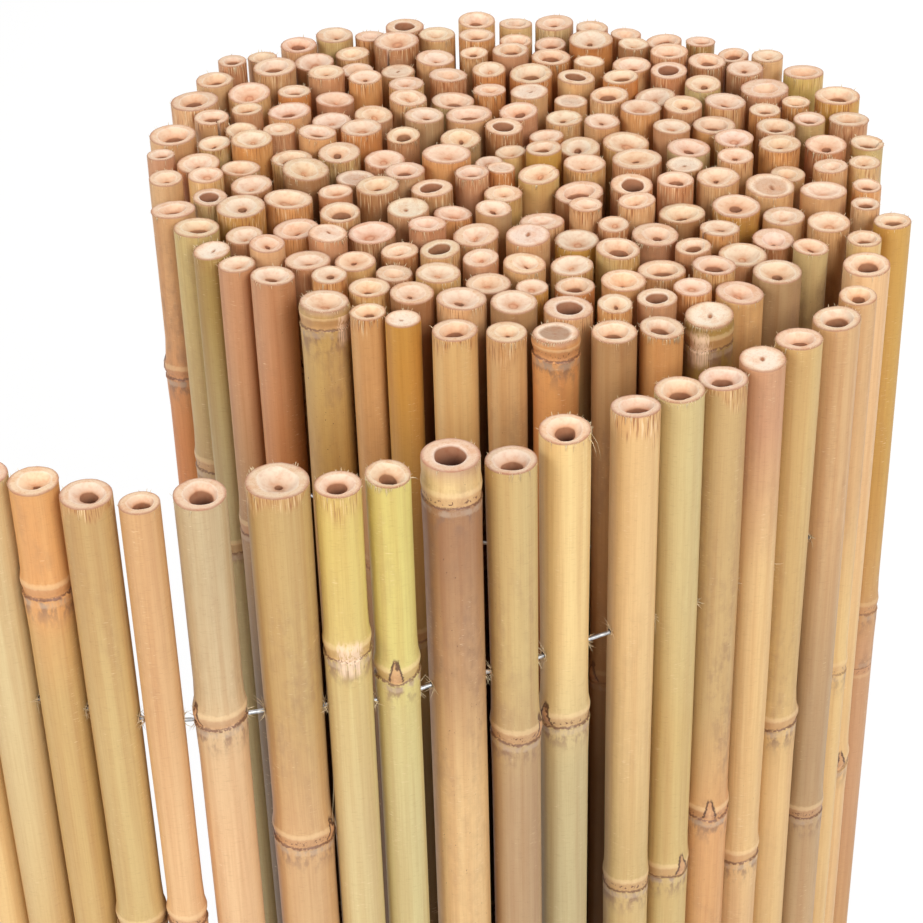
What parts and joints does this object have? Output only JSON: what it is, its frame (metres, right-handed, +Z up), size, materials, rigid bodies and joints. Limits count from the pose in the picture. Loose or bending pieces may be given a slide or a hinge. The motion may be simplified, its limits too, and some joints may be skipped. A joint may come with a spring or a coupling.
{
  "type": "bamboo fence panel",
  "caption": "Bamboo fence panel rolled up and standing on end, natural round culms threaded on galvanised wires, free end swung open.",
  "frame": {"origin": "bottom centre of the whole roll, on the ground", "axes": "+Z up along the culms, the free end opens towards -Y and -X"},
  "size_m": [0.328, 0.3354, 1.0025],
  "materials": {
    "bamboo": "natural bamboo, smooth skin",
    "wire": "galvanised wire"
  },
  "bodies": {
    "root": {"culm_01": "bamboo", "culm_02": "bamboo", "culm_03": "bamboo", "culm_04": "bamboo", "culm_05": "bamboo", "culm_06": "bamboo", "culm_07": "bamboo", "culm_08": "bamboo", "culm_09": "bamboo", "culm_10": "bamboo", "culm_11": "bamboo", "culm_12": "bamboo", "culm_13": "bamboo", "culm_14": "bamboo", "culm_15": "bamboo", "culm_16": "bamboo", "culm_17": "bamboo", "culm_18": "bamboo", "culm_19": "bamboo", "culm_20": "bamboo", "culm_21": "bamboo", "culm_22": "bamboo", "culm_23": "bamboo", "culm_24": "bamboo", "culm_25": "bamboo", "culm_26": "bamboo", "culm_27": "bamboo", "culm_28": "bamboo", "culm_29": "bamboo", "culm_30": "bamboo", "culm_31": "bamboo", "culm_32": "bamboo", "culm_33": "bamboo", "culm_34": "bamboo", "culm_35": "bamboo", "culm_36": "bamboo", "culm_37": "bamboo", "culm_38": "bamboo", "culm_39": "bamboo", "culm_40": "bamboo", "culm_41": "bamboo", "culm_42": "bamboo", "culm_43": "bamboo", "culm_44": "bamboo", "culm_45": "bamboo", "culm_46": "bamboo", "culm_47": "bamboo", "culm_48": "bamboo", "culms_turn_1": "bamboo", "culms_turn_2": "bamboo", "culms_turn_3": "bamboo", "culms_turn_4": "bamboo", "culms_turn_5": "bamboo", "culms_turn_6": "bamboo", "wire_1": "wire", "wire_2": "wire", "wire_3": "wire", "wire_4": "wire"}
  },
  "joints": []
}
